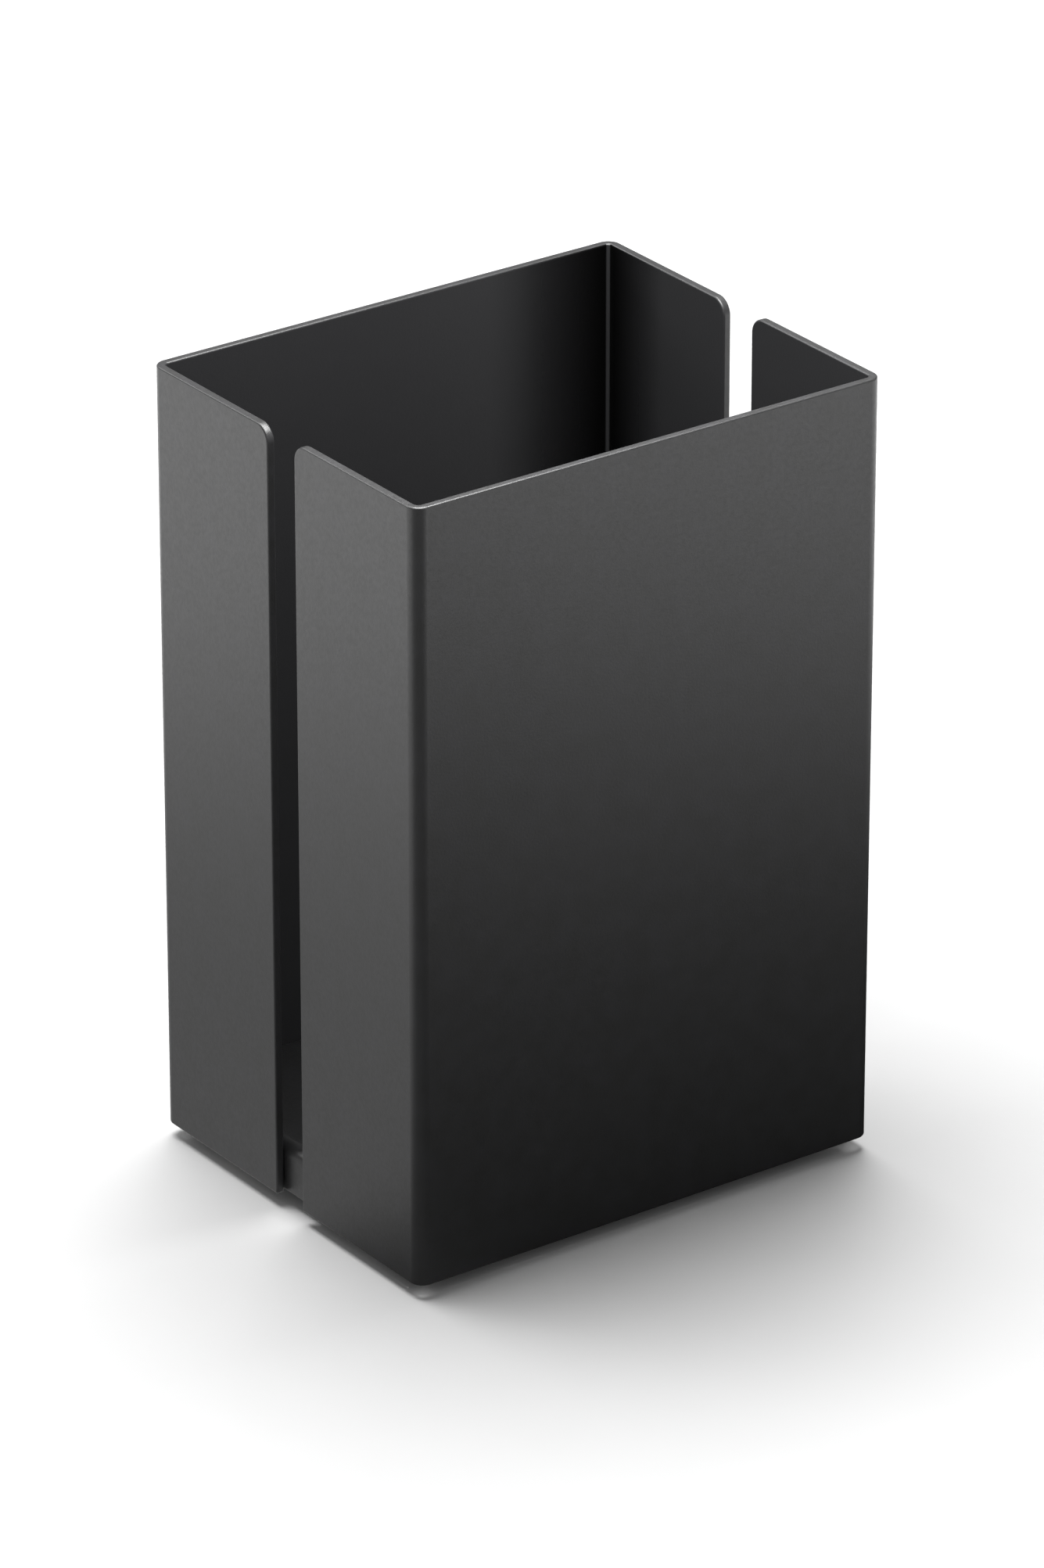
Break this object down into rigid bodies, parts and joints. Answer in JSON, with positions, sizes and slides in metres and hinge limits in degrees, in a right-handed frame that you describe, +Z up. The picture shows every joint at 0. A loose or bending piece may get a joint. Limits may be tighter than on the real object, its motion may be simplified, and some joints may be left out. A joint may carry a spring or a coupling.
{
  "type": "napkin dispenser",
  "caption": "Open-topped countertop napkin box of bent black sheet steel, with finger slots down both short sides, a folded base tray and rubber feet.",
  "frame": {"origin": "on the floor plane that the feet stand on, under the middle of the box", "axes": "+Z up along the box; X runs along the long walls; -Y is the front wall; the slots are in the -X and +X sides"},
  "size_m": [0.125, 0.1, 0.1895],
  "materials": {
    "shell_coat": "satin fine-texture powder coat",
    "tray_coat": "satin fine-texture powder coat",
    "foot_rubber": "matt moulded",
    "screw_steel": "plain stainless",
    "zinc_steel": "bright zinc plate",
    "stud_steel": "copper flash"
  },
  "bodies": {
    "root": {"front_shell": "shell_coat", "back_shell": "shell_coat", "base_tray": "tray_coat", "foot_front_left": "foot_rubber", "foot_front_right": "foot_rubber", "foot_back_left": "foot_rubber", "foot_back_right": "foot_rubber", "foot_screw_front_left": "screw_steel", "foot_screw_front_right": "screw_steel", "foot_screw_back_left": "screw_steel", "foot_screw_back_right": "screw_steel", "foot_washer_front_left": "screw_steel", "foot_washer_front_right": "screw_steel", "foot_washer_back_left": "screw_steel", "foot_washer_back_right": "screw_steel", "clinch_nut_front_left": "zinc_steel", "clinch_nut_front_right": "zinc_steel", "clinch_nut_back_left": "zinc_steel", "clinch_nut_back_right": "zinc_steel", "stud_front_wall_left": "stud_steel", "stud_front_wall_right": "stud_steel", "stud_back_wall_left": "stud_steel", "stud_back_wall_right": "stud_steel", "stud_left_side_front": "stud_steel", "stud_left_side_back": "stud_steel", "stud_right_side_front": "stud_steel", "stud_right_side_back": "stud_steel", "stud_washer_front_wall_left": "zinc_steel", "stud_washer_front_wall_right": "zinc_steel", "stud_washer_back_wall_left": "zinc_steel", "stud_washer_back_wall_right": "zinc_steel", "stud_washer_left_side_front": "zinc_steel", "stud_washer_left_side_back": "zinc_steel", "stud_washer_right_side_front": "zinc_steel", "stud_washer_right_side_back": "zinc_steel", "stud_nut_front_wall_left": "zinc_steel", "stud_nut_front_wall_right": "zinc_steel", "stud_nut_back_wall_left": "zinc_steel", "stud_nut_back_wall_right": "zinc_steel", "stud_nut_left_side_front": "zinc_steel", "stud_nut_left_side_back": "zinc_steel", "stud_nut_right_side_front": "zinc_steel", "stud_nut_right_side_back": "zinc_steel"}
  },
  "joints": []
}
